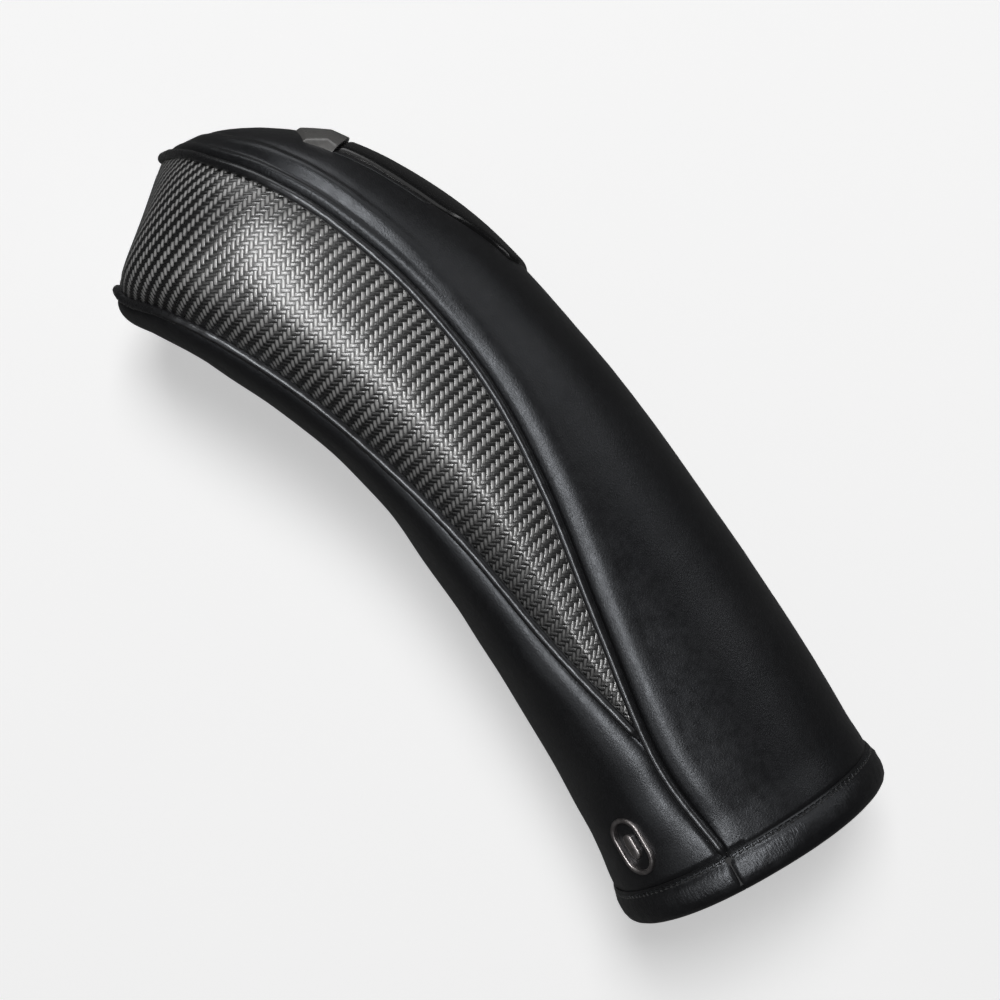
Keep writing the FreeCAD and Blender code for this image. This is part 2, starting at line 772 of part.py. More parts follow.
os.makedirs("parts", exist_ok=True)
for feature in subparts:
    feature.Shape.exportStep("parts/%s.step" % feature.Label)
    print("%-22s %9.0f mm3" % (feature.Label, feature.Shape.Volume))
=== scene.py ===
"""Looks of a padded driver head cover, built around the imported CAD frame.

Lengths are millimetres in the cover's drawing position: mid-plane z = 0, +X towards the open
mouth and +Y towards the crown. `to_frame` carries points into the row frame, in metres.
"""
import math

import bmesh
import bpy
import numpy as np
from mathutils import Matrix, Vector, kdtree


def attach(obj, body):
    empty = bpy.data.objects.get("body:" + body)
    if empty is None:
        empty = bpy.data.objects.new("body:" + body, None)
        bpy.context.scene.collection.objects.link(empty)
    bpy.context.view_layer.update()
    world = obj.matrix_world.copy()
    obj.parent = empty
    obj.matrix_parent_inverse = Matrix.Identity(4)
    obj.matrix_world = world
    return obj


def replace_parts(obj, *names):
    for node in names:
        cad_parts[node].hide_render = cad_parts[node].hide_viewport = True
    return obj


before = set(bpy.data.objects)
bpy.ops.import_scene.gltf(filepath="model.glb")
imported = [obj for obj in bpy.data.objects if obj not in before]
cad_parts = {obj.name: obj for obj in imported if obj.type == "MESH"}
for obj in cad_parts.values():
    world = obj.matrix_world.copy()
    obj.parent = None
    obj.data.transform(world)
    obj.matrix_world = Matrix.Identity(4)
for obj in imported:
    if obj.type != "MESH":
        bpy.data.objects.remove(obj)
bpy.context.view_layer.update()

MM = 0.001
REST = np.array([0.8, 1.35, 60.3])      # drawing position to row frame, as in the CAD

# ---------- shape of the cover

# crown x, y, under x, y, half thickness, power, upper seam, lower seam: as in the CAD.
STATIONS = np.array([
    (-167.6, 3.2, -144.6, -40.6, 3.0, 3.6, 1.0, -1.0),
    (-162.2, 16.8, -141.8, -42.4, 28.5, 3.4, 0.72, -0.94),
    (-151.0, 32.6, -134.0, -43.8, 44.0, 3.0, 0.51, -0.90),
    (-132.4, 47.0, -120.0, -40.4, 55.5, 2.8, 0.41, -0.84),
    (-106.2, 58.6, -96.0, -35.0, 59.8, 2.8, 0.34, -0.80),
    (-70.0, 65.6, -64.0, -29.2, 59.4, 2.8, 0.26, -0.79),
    (-28.0, 64.8, -30.0, -27.8, 57.0, 2.7, 0.18, -0.76),
    (14.3, 60.8, 4.0, -32.6, 55.0, 2.6, 0.03, -0.66),
    (66.0, 52.2, 48.0, -41.6, 53.5, 2.5, -0.20, -0.55),
    (116.0, 42.2, 94.0, -53.6, 54.5, 2.4, -0.355, -0.33),
    (151.0, 33.0, 127.0, -64.4, 56.5, 2.3, -0.25, -0.20),
    (166.0, 28.8, 140.8, -68.4, 58.1, 2.2, -0.23, -0.10),
])
SPANS = len(STATIONS) - 1
JUNCTION = 0.802           # where the lower seam runs into the upper one
TOE_RADIUS = 60.0
UPPER, LOWER = 6, 7        # columns of the two seams
FLIP = np.array([1.0, 1.0, -1.0])       # near side to far side
LINE_STEP = 0.4            # spacing of the points of a seam line

CROWN_RIM, UNDER_RIM = STATIONS[-1][0:2], STATIONS[-1][2:4]
MOUTH_CENTRE = (CROWN_RIM + UNDER_RIM) / 2
MOUTH_UP = (CROWN_RIM - UNDER_RIM) / np.linalg.norm(CROWN_RIM - UNDER_RIM)
MOUTH_OUT = np.array([MOUTH_UP[1], -MOUTH_UP[0]])

SKIN, LINING_OUT, LINING_IN = 1.2, 3.2, 5.0     # depths of the wall's layers
SETBACK = 1.7              # the skin ends this far behind the rim
CUFF_WIDTH = 12.5
FRAME_OFFSET = 3.0         # the raised line runs this far beside the crown plate


def smooth(column, w, mirrored=True):
    """Catmull-Rom value of one station column at w, 0 at the toe and 1 at the mouth."""
    w = np.asarray(w, float)
    values = STATIONS[:, column]
    before = values[1] if mirrored else 2 * values[0] - values[1]
    padded = np.concatenate([[before], values, [2 * values[-1] - values[-2]]])
    place = np.clip(w * SPANS, 0, SPANS - 1e-9)
    index = place.astype(int)
    f = place - index
    a, b, c, d = (padded[index + k] for k in range(4))
    value = 0.5 * (2 * b + (c - a) * f + (2 * a - 5 * b + 4 * c - d) * f ** 2
                   + (3 * b - a - 3 * c + d) * f ** 3)
    return value + np.maximum(w - 1, 0) * SPANS * (values[-1] - values[-2])


def section(w, out):
    """Centre, unit vector to the crown, half height, half thickness and power of a section."""
    crown = np.stack([smooth(0, w), smooth(1, w)], -1)
    under = np.stack([smooth(2, w), smooth(3, w)], -1)
    half = smooth(4, w, mirrored=False)
    height = np.linalg.norm(crown - under, axis=-1) / 2
    up = (crown - under) / (2 * height[..., None])
    inwards = np.stack([up[..., 1], -up[..., 0]], -1)
    slope = np.minimum(1.0, half / TOE_RADIUS)
    lean = np.where(w < 0.5, np.sqrt(1 - slope ** 2), 0.0)
    rise = np.where(w < 0.4, slope, 1.0)
    centre = (crown + under) / 2 - inwards * (out * lean)[..., None]
    return centre, up, height + out, half + out * rise, smooth(5, w)


def surface(w, angle, out=0.0):
    """Point of the surface `out` mm outside the cover: angle 0 crown, 90 degrees near side."""
    w, angle, out = np.broadcast_arrays(*[np.asarray(x, float) for x in (w, angle, out)])
    centre, up, height, half, power = section(w, out)
    c, s = np.cos(angle), np.sin(angle)
    rho = (np.abs(c) ** power + np.abs(s) ** power) ** (-1 / power)
    plan = centre + up * (height * c * rho)[..., None]
    return np.concatenate([plan, (half * s * rho)[..., None]], -1)


def seam_angle(column, w):
    """Angle of a side seam on its section."""
    n = smooth(column, w)
    power = smooth(5, w)
    return np.arctan2(np.maximum(0, 1 - np.abs(n) ** power) ** (1 / power), n)


def seam_curve(column, last, out=0.0):
    """Even points of a whole seam: near side from `last` to the toe, then back on the far side."""
    w = np.linspace(last, 0.0, 3000)
    near = surface(w, seam_angle(column, w), out)
    return even(np.concatenate([near, near[-2::-1] * FLIP]), LINE_STEP)


def run_length(line):
    """Length along a polyline at each of its points."""
    return np.concatenate([[0], np.cumsum(np.linalg.norm(np.diff(line, axis=0), axis=1))])


def even(line, step):
    """A polyline resampled at an even step."""
    reach = run_length(line)
    count = max(2, int(round(reach[-1] / step)) + 1)
    targets = np.linspace(0, reach[-1], count)
    return np.stack([np.interp(targets, reach, line[:, k]) for k in range(3)], -1)


def ease(x, low, high):
    """Smooth step from 0 at low to 1 at high."""
    t = np.clip((x - low) / (high - low), 0, 1)
    return t * t * (3 - 2 * t)


def profile(x, knots):
    """Smooth curve through (distance, height) knots, flat outside them."""
    kx, ky = np.array(knots).T
    slopes = np.gradient(ky, kx)
    slopes[0] = slopes[-1] = 0
    x = np.clip(x, kx[0], kx[-1])
    i = np.clip(np.searchsorted(kx, x) - 1, 0, len(kx) - 2)
    h = kx[i + 1] - kx[i]
    t = (x - kx[i]) / h
    return ((2 * t ** 3 - 3 * t ** 2 + 1) * ky[i] + (t ** 3 - 2 * t ** 2 + t) * h * slopes[i]
            + (3 * t ** 2 - 2 * t ** 3) * ky[i + 1] + (t ** 3 - t ** 2) * h * slopes[i + 1])


WAVES = np.random.default_rng(11)


def ripple(points, length, count=7):
    """Gentle random undulation of about +-1 with waves of roughly this length."""
    total = 0
    for _ in range(count):
        direction = WAVES.normal(size=3)
        direction /= np.linalg.norm(direction)
        wave = length * WAVES.uniform(0.7, 1.6)
        phase = WAVES.uniform(0, 2 * math.pi)
        total = total + np.sin(points @ direction * (2 * math.pi / wave) + phase)
    return total / math.sqrt(count)


def behind_mouth(points):
    """Distance of points behind the mouth plane."""
    return (MOUTH_CENTRE - points[..., :2]) @ MOUTH_OUT


# ---------- mesh helpers

def to_frame(points):
    """Drawing millimetres to row-frame metres, resting on the floor plane."""
    placed = np.asarray(points, float) + REST
    placed[..., 2] = np.maximum(placed[..., 2], 0.0)
    return placed * MM


SHARP = math.radians(50)


def make_mesh(name, points, faces, material, slot=None, **attributes):
    """Mesh piece riding on the cover, with point attributes for its material."""
    mesh = bpy.data.meshes.new(name)
    mesh.from_pydata([tuple(p) for p in to_frame(points)], [], [tuple(f) for f in faces])
    for key, values in attributes.items():
        values = np.asarray(values, np.float32)
        if values.ndim > 1:
            data = mesh.attributes.new(key, "FLOAT_VECTOR", "POINT").data
            data.foreach_set("vector", values.ravel())
        else:
            mesh.attributes.new(key, "FLOAT", "POINT").data.foreach_set("value", values)
    work = bmesh.new()
    work.from_mesh(mesh)
    bmesh.ops.recalc_face_normals(work, faces=work.faces)
    for edge in work.edges:
        edge.smooth = edge.calc_face_angle(0.0) < SHARP
    work.to_mesh(mesh)
    work.free()
    mesh.polygons.foreach_set("use_smooth", [True] * len(mesh.polygons))
    mesh.materials.append(material)
    piece = bpy.data.objects.new(name, mesh)
    bpy.context.scene.collection.objects.link(piece)
    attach(piece, "root")
    return piece


def grid_faces(rows, columns, offset=0, wrap_rows=False, wrap_columns=False):
    """Quads of a grid of points counted row by row."""
    i = np.arange(rows if wrap_rows else rows - 1)
    j = np.arange(columns if wrap_columns else columns - 1)
    i, j = np.meshgrid(i, j, indexing="ij")
    i2, j2 = (i + 1) % rows, (j + 1) % columns
    quads = np.stack([i * columns + j, i * columns + j2, i2 * columns + j2, i2 * columns + j], -1)
    return quads.reshape(-1, 4) + offset


def closed_sheet(outer, inner):
    """Points and faces of a thick sheet between two grids of the same shape."""
    rows, columns = outer.shape[:2]
    count = rows * columns
    points = np.concatenate([outer.reshape(-1, 3), inner.reshape(-1, 3)])
    index = np.arange(count).reshape(rows, columns)
    rim = np.concatenate([index[0, :], index[1:, -1], index[-1, -2::-1], index[-2:0:-1, 0]])
    after = np.roll(rim, -1)
    walls = np.stack([rim, after, after + count, rim + count], -1)
    faces = np.concatenate([grid_faces(rows, columns), grid_faces(rows, columns, count), walls])
    return points, faces


def sweep(path, outline, closed=False, normals=None):
    """Points and faces of an outline (side, out) carried along a path."""
    path = np.asarray(path, float)
    if closed:
        tangent = np.roll(path, -1, 0) - np.roll(path, 1, 0)
    else:
        tangent = np.gradient(path, axis=0)
    tangent /= np.linalg.norm(tangent, axis=1)[:, None]
    if normals is None:
        normals = np.zeros_like(path)
        normal = np.cross(tangent[0], (0.3, 0.5, 0.8))
        for k in range(len(path)):
            normal = normal - tangent[k] * (normal @ tangent[k])
            normal /= np.linalg.norm(normal)
            normals[k] = normal
    side = np.cross(tangent, normals)
    side /= np.linalg.norm(side, axis=1)[:, None]
    outline = np.asarray(outline, float)
    if outline.ndim == 2:
        outline = np.broadcast_to(outline, (len(path),) + outline.shape)
    points = (path[:, None] + side[:, None] * outline[..., :1] + normals[:, None] * outline[..., 1:])
    rows, columns = points.shape[:2]
    faces = [tuple(f) for f in grid_faces(rows, columns, wrap_rows=closed, wrap_columns=True)]
    if not closed:
        faces.append(tuple(range(columns)))
        faces.append(tuple(range((rows - 1) * columns, rows * columns)))
    return points.reshape(-1, 3), faces


def circle(radius, count=16):
    """Round outline."""
    angle = np.linspace(0, 2 * math.pi, count, endpoint=False)
    return np.stack([radius * np.cos(angle), radius * np.sin(angle)], -1)


class Nearest:
    """Distance to a set of dense lines, and the arc length there."""

    def __init__(self, *lines):
        self.reach = np.concatenate([np.arange(len(line)) for line in lines])
        points = np.concatenate(lines)
        self.step = np.linalg.norm(lines[0][1] - lines[0][0])
        self.tree = kdtree.KDTree(len(points))
        for i, p in enumerate(points):
            self.tree.insert(Vector(p), i)
        self.tree.balance()

    def measure(self, points):
        """Distance and arc length, one value for each point."""
        flat = points.reshape(-1, 3)
        found = [self.tree.find(Vector(p)) for p in flat]
        distance = np.array([f[2] for f in found])
        along = self.reach[[f[1] for f in found]] * self.step
        return distance.reshape(points.shape[:-1]), along.reshape(points.shape[:-1])


# ---------- materials

class Graph:
    """One material: adds and links its shader nodes."""

    def __init__(self, name):
        self.material = bpy.data.materials.new(name)
        self.material.use_nodes = True
        self.tree = self.material.node_tree
        self.tree.nodes.clear()
        output = self.tree.nodes.new("ShaderNodeOutputMaterial")
        self.shader = self.tree.nodes.new("ShaderNodeBsdfPrincipled")
        self.tree.links.new(self.shader.outputs[0], output.inputs["Surface"])
        self.place = self.node("TexCoord").outputs["Object"]
        self.normal = None

    def node(self, kind, **settings):
        """New node with some of its settings."""
        made = self.tree.nodes.new("ShaderNode" + kind)
        for key, value in settings.items():
            setattr(made, key, value)
        return made

    def feed(self, socket, value):
        """Links a socket to another, or sets its value."""
        if isinstance(value, bpy.types.NodeSocket):
            self.tree.links.new(value, socket)
        else:
            socket.default_value = value

    def maths(self, operation, *values):
        """Math node; returns its output."""
        made = self.node("Math", operation=operation)
        for socket, value in zip(made.inputs, values):
            self.feed(socket, value)
        return made.outputs[0]

    def attribute(self, name, output="Fac"):
        """Value of a mesh attribute."""
        return self.node("Attribute", attribute_name=name).outputs[output]

    def combine(self, x, y, z=0.0):
        """Vector of three values."""
        made = self.node("CombineXYZ")
        for socket, value in zip(made.inputs, (x, y, z)):
            self.feed(socket, value)
        return made.outputs[0]

    def noise(self, size_mm, detail=3.0, rough=0.55, vector=None, scale=None):
        """Noise whose features are about this size."""
        made = self.node("TexNoise")
        self.feed(made.inputs["Vector"], vector or self.place)
        made.inputs["Scale"].default_value = scale or 1000 / size_mm
        made.inputs["Detail"].default_value = detail
        made.inputs["Roughness"].default_value = rough
        return made.outputs[0]

    def cells(self, size_mm):
        """Voronoi distance whose cells are about this size."""
        made = self.node("TexVoronoi", feature="F1")
        self.feed(made.inputs["Vector"], self.place)
        made.inputs["Scale"].default_value = 1000 / size_mm
        return made.outputs["Distance"]

    def span(self, value, low, high, to_low=0.0, to_high=1.0, smooth=False):
        """Maps a value from one range to another, clamped."""
        kind = "SMOOTHSTEP" if smooth else "LINEAR"
        made = self.node("MapRange", interpolation_type=kind)
        self.feed(made.inputs["Value"], value)
        for socket, number in zip(("From Min", "From Max", "To Min", "To Max"),
                                  (low, high, to_low, to_high)):
            self.feed(made.inputs[socket], number)
        return made.outputs[0]

    def colours(self, value, *stops):
        """Colour ramp of (place, rgb) stops."""
        made = self.node("ValToRGB")
        self.feed(made.inputs[0], value)
        ramp = made.color_ramp
        while len(ramp.elements) < len(stops):
            ramp.elements.new(0.5)
        for element, (place, rgb) in zip(ramp.elements, stops):
            element.position = place
            element.color = (*rgb, 1.0)
        return made.outputs[0]

    def mix(self, factor, a, b):
        """Colour between two colours."""
        made = self.node("Mix", data_type="RGBA")
        for socket, value in zip((made.inputs[0], made.inputs[6], made.inputs[7]), (factor, a, b)):
            self.feed(socket, (*value, 1.0) if isinstance(value, tuple) else value)
        return made.outputs[2]

    def bump(self, height, depth_mm, strength=1.0):
        """Adds a relief of this depth to the material's normal."""
        made = self.node("Bump")
        self.feed(made.inputs["Height"], height)
        made.inputs["Distance"].default_value = depth_mm * MM
        made.inputs["Strength"].default_value = strength
        if self.normal:
            self.tree.links.new(self.normal, made.inputs["Normal"])
        self.normal = made.outputs[0]

    def finish(self, colour, roughness, **sockets):
        """Connects the shader and returns the material."""
        self.feed(self.shader.inputs["Base Color"],
                  (*colour, 1.0) if isinstance(colour, tuple) else colour)
        self.feed(self.shader.inputs["Roughness"], roughness)
        for key, value in sockets.items():
            self.feed(self.shader.inputs[key.replace("_", " ")], value)
        if self.normal:
            self.tree.links.new(self.normal, self.shader.inputs["Normal"])
        return self.material


def leather(name, wrinkles=None, gloss=0.38, grain=0.070, coat=0.0, frame_line=False,
            dashes=None):
    """Fine black leather, all in mm: `wrinkles` is (from, to, period, depth) beside the seam,
    and `dashes` is (distance behind the rim, pitch) of a stitch row."""
    g = Graph(name)
    pebble = g.cells(0.85)
    fine = g.noise(0.55, detail=4.0)
    broad = g.noise(26.0, detail=2.0)
    g.bump(g.noise(9.0, detail=2.0), 0.05)
    if wrinkles:
        start, end, period, depth = wrinkles
        seam = g.attribute("seam")
        along = g.attribute("along")
        creases = g.noise(1.0, detail=3.0, scale=1.0, vector=g.combine(
            g.maths("DIVIDE", along, period), g.maths("DIVIDE", seam, period * 4)))
        inner = g.span(seam, start - 1.0, start + 0.6, smooth=True)
        outer = g.span(seam, end - 1.5, end + 1.0, 1.0, 0.0, smooth=True)
        g.bump(g.maths("MULTIPLY", creases, g.maths("MULTIPLY", inner, outer)), depth)
    if dashes:
        row, pitch = dashes
        turn = g.maths("MODULO", g.attribute("along"), pitch)
        off_middle = g.maths("ABSOLUTE", g.maths("SUBTRACT", turn, pitch / 2))
        hole = g.span(off_middle, pitch * 0.28, pitch * 0.40, 1.0, 0.0, smooth=True)
        off_row = g.maths("ABSOLUTE", g.maths("SUBTRACT", g.attribute("seam"), row))
        sunk = g.maths("MULTIPLY", hole, g.span(off_row, 0.2, 0.55, 1.0, 0.0, smooth=True))
        g.bump(g.maths("SUBTRACT", 1.0, sunk), 0.6)
    if frame_line:
        ring = g.maths("ABSOLUTE", g.maths("SUBTRACT", g.attribute("frame"), FRAME_OFFSET))
        g.bump(g.span(ring, 0.0, 0.7, 1.0, 0.0, smooth=True), 0.5)
    g.bump(pebble, grain * 0.3)
    g.bump(fine, grain)
    tone = g.colours(broad, (0.3, (0.0062, 0.0062, 0.0070)), (0.7, (0.0095, 0.0093, 0.0100)))
    rough = g.span(g.noise(3.0, detail=5.0), 0.3, 0.7, gloss - 0.05, gloss + 0.06)
    return g.finish(tone, rough, Coat_Weight=coat, Coat_Roughness=0.42, Sheen_Weight=0.03,
                    Sheen_Roughness=0.4, Specular_Tint=(0.90, 0.94, 1.0, 1.0))


def carbon_weave():
    """Two-by-two twill of grey tows under a clear coat, with painted shade, highlight and sheen in
    their colour.
    """
    g = Graph("carbon_weave")
    place = g.node("SeparateXYZ")
    g.feed(place.inputs[0], g.attribute("weave", "Vector"))
    u, v = place.outputs[0], place.outputs[1]
    u_cell, v_cell = g.maths("FLOOR", u), g.maths("FLOOR", v)

    def tow(across, along_from, other_cell, shift):
        """Height of one set of tows, and 1 where it lies on top."""
        t = g.maths("ADD", g.maths("SUBTRACT", along_from, other_cell), shift + 400.0)
        t = g.maths("MODULO", t, 4.0)
        on_top = g.maths("LESS_THAN", t, 2.0)
        side = g.maths("SUBTRACT", g.maths("MULTIPLY", g.maths("FRACT", across), 2.0), 1.0)
        end = g.maths("SUBTRACT", t, 1.0)
        round_side = g.maths("SQRT", g.maths("MAXIMUM", g.maths(
            "SUBTRACT", 1.0, g.maths("MULTIPLY", side, side)), 0.0))
        dip = g.maths("SUBTRACT", 1.0, g.maths("MULTIPLY", g.maths("MULTIPLY", end, end), 0.30))
        return g.maths("MULTIPLY", round_side, dip), on_top

    upright, upright_top = tow(u, v, u_cell, 1.0)
    level, _ = tow(v, u, v_cell, -2.0)
    height = g.node("Mix", data_type="FLOAT")
    for socket, value in zip(height.inputs[:1] + height.inputs[2:4], (upright_top, level, upright)):
        g.feed(socket, value)
    height = height.outputs[0]
    fibres = g.noise(1.0, detail=2.0, scale=1.0, vector=g.combine(
        g.maths("MULTIPLY", u, 6.0), g.maths("MULTIPLY", v, 6.0)))
    g.bump(height, 0.25)
    g.bump(fibres, 0.02)
    # painted light in the tows' colour: near black at their sides and in the gaps between them
    # (painted shade), lightest along their crowns (painted highlight), and the upright tows painted
    # pale where the level tows are painted near black (painted sheen of the fibres)
    shade = g.maths("MULTIPLY", height, g.span(fibres, 0.3, 0.7, 0.88, 1.08))
    bright = g.colours(shade, (0.25, (0.004, 0.004, 0.004)), (0.60, (0.13, 0.129, 0.127)),
                       (0.97, (0.50, 0.495, 0.49)))
    dark = g.colours(shade, (0.30, (0.002, 0.002, 0.002)), (0.95, (0.010, 0.010, 0.010)))
    tone = g.mix(upright_top, dark, bright)
    # painted shade carried by the band's "tone" attribute: darker towards the band's tip and beside
    # the lower seam
    tone = g.mix(g.attribute("tone"), (0.003, 0.003, 0.003), tone)
    rough = g.span(fibres, 0.3, 0.7, 0.24, 0.31)
    return g.finish(tone, rough, Specular_IOR_Level=0.9, Coat_Weight=0.4, Coat_Roughness=0.28)


def soft_fabric(name, colour, size_mm, depth, sheen=0.3, rough=0.9):
    """Foam, plush or felt: mottled colour and a soft broken surface."""
    g = Graph(name)
    tufts = g.noise(size_mm, detail=5.0, rough=0.7)
    g.bump(g.cells(size_mm * 1.4), depth)
    g.bump(tufts, depth)
    dark = tuple(0.62 * c for c in colour)
    tone = g.colours(tufts, (0.3, dark), (0.7, colour))
    return g.finish(tone, rough, Sheen_Weight=sheen, Sheen_Roughness=0.5)


def woven(name, colour, pitch_mm, depth, rough=0.7):
    """Plain ribbed weave for webbing, elastic, cord and thread."""
    g = Graph(name)
    ribs = g.node("TexWave", wave_type="BANDS", bands_direction="DIAGONAL")
    g.feed(ribs.inputs["Vector"], g.place)
    ribs.inputs["Scale"].default_value = 1000 / pitch_mm / 6
    ribs.inputs["Distortion"].default_value = 0.4
    g.bump(ribs.outputs[1], depth)
    g.bump(g.noise(pitch_mm * 0.3), depth * 0.4)
    dark = tuple(0.5 * c for c in colour)
    tone = g.colours(ribs.outputs[1], (0.2, dark), (0.8, colour))
    return g.finish(tone, rough, Sheen_Weight=0.2)


def hard(name, colour, rough, metallic=0.0, speckle=0.12, coat=0.0, scratch=0.01):
    """Moulded or cast piece with faint handling marks and slightly uneven gloss."""
    g = Graph(name)
    marks = g.noise(1.0, detail=6.0, rough=0.65)
    g.bump(g.noise(0.4, detail=3.0), scratch)
    g.bump(g.noise(7.0), scratch * 4)
    tone = g.colours(marks, (0.35, tuple(c * (1 - speckle) for c in colour)),
                     (0.65, tuple(c * (1 + speckle) for c in colour)))
    gloss = g.span(g.noise(2.5, detail=5.0), 0.3, 0.7, rough * 0.8, rough * 1.25)
    return g.finish(tone, gloss, Metallic=metallic, Coat_Weight=coat, Coat_Roughness=0.06)


MATERIALS = {
    "crown_leather": leather("crown_leather", wrinkles=(2.2, 5.0, 1.2, 0.16), frame_line=True),
    "under_leather": leather("under_leather", wrinkles=(2.6, 6.0, 1.5, 0.06)),
    "cuff_leather": leather("cuff_leather", wrinkles=(3.5, 10.4, 0.9, 0.20), dashes=(11.6, 2.5)),
    "piping_leather": leather("piping_leather", gloss=0.28, grain=0.02, coat=0.35),
    "carbon_weave": carbon_weave(),
    "padding_foam": soft_fabric("padding_foam", (0.30, 0.30, 0.29), 0.9, 0.10, sheen=0.0),
    "plush_lining": soft_fabric("plush_lining", (0.040, 0.040, 0.043), 1.1, 0.55, sheen=0.6),
    "piping_cord": woven("piping_cord", (0.45, 0.43, 0.40), 0.9, 0.10),
    "webbing": woven("webbing", (0.020, 0.020, 0.022), 1.2, 0.15),
    "elastic": woven("elastic", (0.030, 0.030, 0.032), 1.5, 0.20),
    "thread": woven("thread", (0.004, 0.004, 0.0045), 0.4, 0.05, rough=0.8),
    "gloss_plate": hard("gloss_plate", (0.006, 0.006, 0.0065), 0.20, coat=0.2, scratch=0.004),
    "grey_cap": hard("grey_cap", (0.125, 0.122, 0.118), 0.34, coat=0.3, scratch=0.008),
    "badge_metal": hard("badge_metal", (0.34, 0.32, 0.318), 0.38, metallic=1.0, scratch=0.004),
    "retainer_steel": hard("retainer_steel", (0.45, 0.45, 0.46), 0.35, metallic=1.0),
}


# ---------- padded panels

EDGE_STEPS = np.concatenate([np.arange(0, 6.3, 0.45), np.arange(6.9, 16.0, 0.65)])


def rows_along(curves, first, last, step):
    """Values of w that move none of the curves by much more than `step` from row to row."""
    w = np.linspace(first, last, 4000)
    moved = np.zeros(len(w) - 1)
    for angles in curves:
        line = surface(w, angles(w))
        moved = np.maximum(moved, np.linalg.norm(np.diff(line, axis=0), axis=1))
    reach = np.concatenate([[0], np.cumsum(moved)])
    targets = np.linspace(0, reach[-1], int(reach[-1] / step) + 1)
    return np.interp(targets, reach, w)


def across(w, start, end, margin, middle, edge=EDGE_STEPS):
    """Angles of one row between two seams, close together beside both, and their arc lengths."""
    fine = np.linspace(start, end, 500)
    line = surface(w, fine)
    reach = run_length(line)
    room = reach[-1] / 2 - margin
    shrink = min(1.0, 0.8 * room / edge[-1])
    near = margin + edge * shrink
    inside = np.linspace(near[-1], reach[-1] - near[-1], middle + 2)[1:-1]
    places = np.concatenate([near, inside, (reach[-1] - near)[::-1]])
    zero = np.interp(math.pi / 2, fine, reach) if start < math.pi / 2 < end else 0.0
    return np.interp(places, reach, fine), places - zero


def panel_grid(curves, bounds, first, last, step, margin, middle, edge=EDGE_STEPS):
    """Rows, angles and arc lengths of a panel between two seams."""
    rows = []
    for w in rows_along(curves, first, last, step):
        start, end = bounds(w)
        line = surface(w, np.linspace(start, end, 60))
        if run_length(line)[-1] > 2 * margin + 0.6:
            rows.append((w, *across(w, start, end, margin, middle, edge)))
    return (np.array([r[0] for r in rows])[:, None], np.array([r[1] for r in rows]),
            np.array([r[2] for r in rows]))


UPPER_LINE = seam_curve(UPPER, 1.0)
LOWER_LINE = seam_curve(LOWER, JUNCTION)


def upper_angle(w):
    """Angle of the upper seam."""
    return seam_angle(UPPER, w)


def lower_angle(w):
    """Angle of the lower seam, which turns into the upper one at the junction."""
    into = ease(np.asarray(w, float), JUNCTION - 0.004, JUNCTION + 0.035)
    return seam_angle(LOWER, w) * (1 - into) + seam_angle(UPPER, w) * into


def crown_middle(w):
    """Angle of the crown line."""
    return np.zeros_like(w)


def under_middle(w):
    """Angle of the under line."""
    return np.full_like(w, math.pi)


def crown_bounds(w):
    """First and last angle of the crown panel's row at w."""
    return -float(upper_angle(w)), float(upper_angle(w))


def under_bounds(w):
    """First and last angle of the under panel's row at w."""
    return float(lower_angle(w)), 2 * math.pi - float(lower_angle(w))


def band_bounds(w):
    """First and last angle of the near half of the side band's row at w."""
    return float(upper_angle(w)), float(seam_angle(LOWER, w))


HEAD_SWELL = [(1.2, -1.0), (2.2, -0.3), (3.3, 0.80), (4.4, 1.05), (6.0, 0.25), (7.6, 0.85),
              (9.2, 1.80), (10.4, 2.15), (11.5, 1.95), (12.4, 1.55), (14.5, 1.50), (22.0, 0.7),
              (32.0, 0.0)]
NECK_SWELL = [(1.2, -1.0), (2.2, -0.2), (3.4, 0.7), (5.0, 1.4), (6.6, 1.85), (8.4, 2.1),
              (10.5, 2.05), (14.0, 1.6), (20.0, 1.0), (28.0, 0.45), (38.0, 0.0)]
UNDER_SWELL = [(1.2, -1.0), (2.6, -0.1), (4.5, 0.7), (7.0, 1.25), (10.0, 1.5), (14.0, 1.4),
               (20.0, 0.9), (30.0, 0.2), (36.0, 0.0)]
BAND_SWELL = [(1.2, -0.9), (3.0, -0.65), (6.0, -0.15), (10.0, 0.45), (16.0, 1.1), (26.0, 1.6)]
EDGE_MARGIN = 1.15
LOWEST = -0.9              # deepest a panel goes, just outside the padding


def at_cuff(points, out):
    """Brings a panel up to the cuff's edge, and flattens it where the cuff lies on it."""
    behind = behind_mouth(points)
    swell = 0.7 * ease(behind, CUFF_WIDTH + 14.0, CUFF_WIDTH + 1.5)
    out = np.where(out > 0, out * ease(behind, CUFF_WIDTH - 4.0, CUFF_WIDTH + 26.0), out) + swell
    return np.where(behind < CUFF_WIDTH + 0.6, np.minimum(out, 0.0), out) - 0.06


def last_row():
    """Value of w where the skin ends, behind the rim."""
    w = np.linspace(0.95, 1.0, 400)
    behind = behind_mouth(surface(w, np.zeros_like(w)))
    return float(np.interp(-SETBACK, -behind, w))


SKIN_END = last_row()


def skin_panel(name, grid, out, material, slot, **attributes):
    """Thick leather panel whose outer face is swollen by `out`."""
    w, angle, _ = grid
    outer = surface(w, angle, np.maximum(out, LOWEST))
    inner = surface(w, angle, -SKIN)
    points, faces = closed_sheet(outer, inner)
    doubled = {key: np.concatenate([value.reshape(-1, *value.shape[2:])] * 2)
               for key, value in attributes.items()}
    piece = make_mesh(name, points, faces, MATERIALS[material], slot, **doubled)
    return piece


